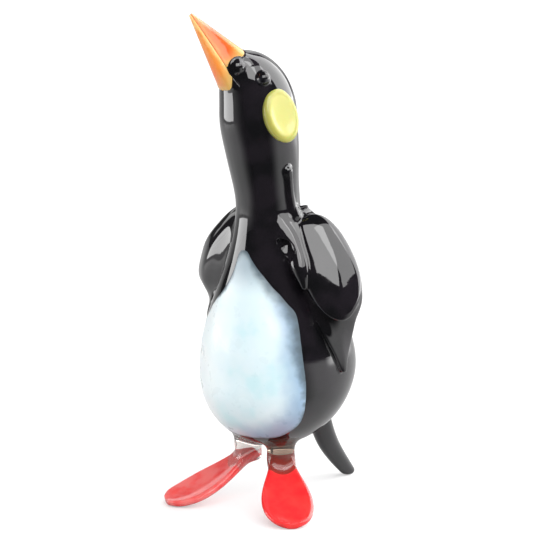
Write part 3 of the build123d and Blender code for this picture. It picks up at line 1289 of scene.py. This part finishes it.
def soft_box(name, azimuth, elevation, distance, width, height, radiance, centre=figure_middle):
    data = bpy.data.lights.new(name, "AREA")
    data.shape = "RECTANGLE"
    data.size = width
    data.size_y = height
    data.energy = radiance * pi * width * height
    lamp = linked(name, data)
    out = direction(view_azimuth + azimuth, elevation)
    lamp.location = centre + out * distance
    lamp.rotation_euler = out.to_track_quat("Z", "Y").to_euler()
    lamp.visible_camera = False


soft_box("right_box", 115.0, 28.0, 0.5, width=0.66, height=0.66, radiance=4.0)
soft_box("front_box", 4.0, 41.5, 0.6, width=0.37, height=0.42, radiance=4.3)
soft_box("second_front_box", 47.0, 41.5, 0.6, width=0.44, height=0.42, radiance=3.0)
soft_box("left_box", -97.0, 0.0, 0.19, width=0.146, height=0.067, radiance=4.7, centre=wing_middle)
soft_box("back_box", 180.0, 14.0, 0.9, width=1.3, height=0.4, radiance=0.9)

# Floor and surroundings, in metres
floor_reach = 1.5
floor_corners = 48
# the stretch of paper that glossy glass sees as dark: its azimuth from the camera's, the cosines of the
# angle off it and the distances between which it sets in, and the light that is left of it
dark_azimuth = -10.0
dark_cosines = (0.38, 0.86)
dark_distances = (0.012, 0.05)
dark_strength = 0.05
# the stretch by the right box that it sees as brighter, likewise
bright_azimuth = 110.0
bright_cosines = (0.8, 0.92)
bright_distances = (0.15, 0.3)
bright_strength = 3.0
# the glow that brings the paper up to white for the camera, near the bird and far away
white_distances = (0.2, 0.7)
white_strengths = (0.45, 1.0)
# how bright the world is to glossy rays and to diffuse rays
world_glossy = 0.05
world_diffuse = 0.35


def make_floor():
    """A sheet of pale paper."""
    mesh = bpy.data.meshes.new("floor")
    rim = [direction(360 * k / floor_corners, 0) * floor_reach for k in range(floor_corners)]
    mesh.from_pydata(rim, [], [tuple(range(len(rim)))])
    return linked("floor", mesh)


def paper():
    """White paper, which glossy glass sees as darker in front of the bird and brighter by the right box."""
    made = recipe("paper").set(Roughness=0.6, Specular_IOR_Level=0.2)
    made.colour(made.ramp(made.noise(20.0), (0.3, (0.50, 0.50, 0.50)), (0.7, (0.53, 0.53, 0.53))))
    output = next(n for n in made.tree.nodes if n.type == "OUTPUT_MATERIAL")
    path = made.add("ShaderNodeLightPath")
    glow = made.add("ShaderNodeEmission")
    both = made.add("ShaderNodeAddShader")
    made.join(made.shader.outputs["BSDF"], both.inputs[0])
    made.join(glow.outputs["Emission"], both.inputs[1])
    flat = made.vector("MULTIPLY", made.place, (1, 1, 0))
    distance = made.vector("LENGTH", flat)
    bearing = made.vector("NORMALIZE", flat)
    facing = made.vector("DOT_PRODUCT", bearing, direction(view_azimuth + dark_azimuth, 0))
    beside = made.vector("DOT_PRODUCT", bearing, direction(view_azimuth + bright_azimuth, 0))
    glossy = path.outputs["Is Glossy Ray"]
    away = made.levels(distance, *dark_distances)
    dark = made.times(made.levels(facing, *dark_cosines), away, glossy)
    far = made.levels(distance, *bright_distances, 0.0, bright_strength)
    bright = made.times(made.levels(beside, *bright_cosines), far, glossy)
    whiter = made.levels(distance, *white_distances, *white_strengths)
    whiter = made.times(path.outputs["Is Camera Ray"], whiter)
    made.join(made.plus(whiter, bright), glow.inputs["Strength"])
    dim = made.add("ShaderNodeEmission")
    dim.inputs["Strength"].default_value = dark_strength
    pick = made.add("ShaderNodeMixShader")
    made.join(dark, pick.inputs["Fac"])
    made.join(both.outputs["Shader"], pick.inputs[1])
    made.join(dim.outputs["Emission"], pick.inputs[2])
    made.join(pick.outputs["Shader"], output.inputs["Surface"])
    return made.material


floor = make_floor()
floor.data.materials.append(paper())


def surroundings():
    """A world that is white to the camera and through clear glass, and dimmer to other rays."""
    world = bpy.data.worlds.new("studio")
    bpy.context.scene.world = world
    made = Recipe(world, "BACKGROUND").set(Color=(1, 1, 1, 1))
    path = made.add("ShaderNodeLightPath")
    seen = made.maths("MAXIMUM", path.outputs["Is Camera Ray"], path.outputs["Is Transmission Ray"])
    dim = made.levels(path.outputs["Is Diffuse Ray"], 0.0, 1.0, world_glossy, world_diffuse)
    made.join(made.maths("MAXIMUM", seen, dim), made.shader.inputs["Strength"])


surroundings()
bpy.context.scene.view_settings.view_transform = "Standard"
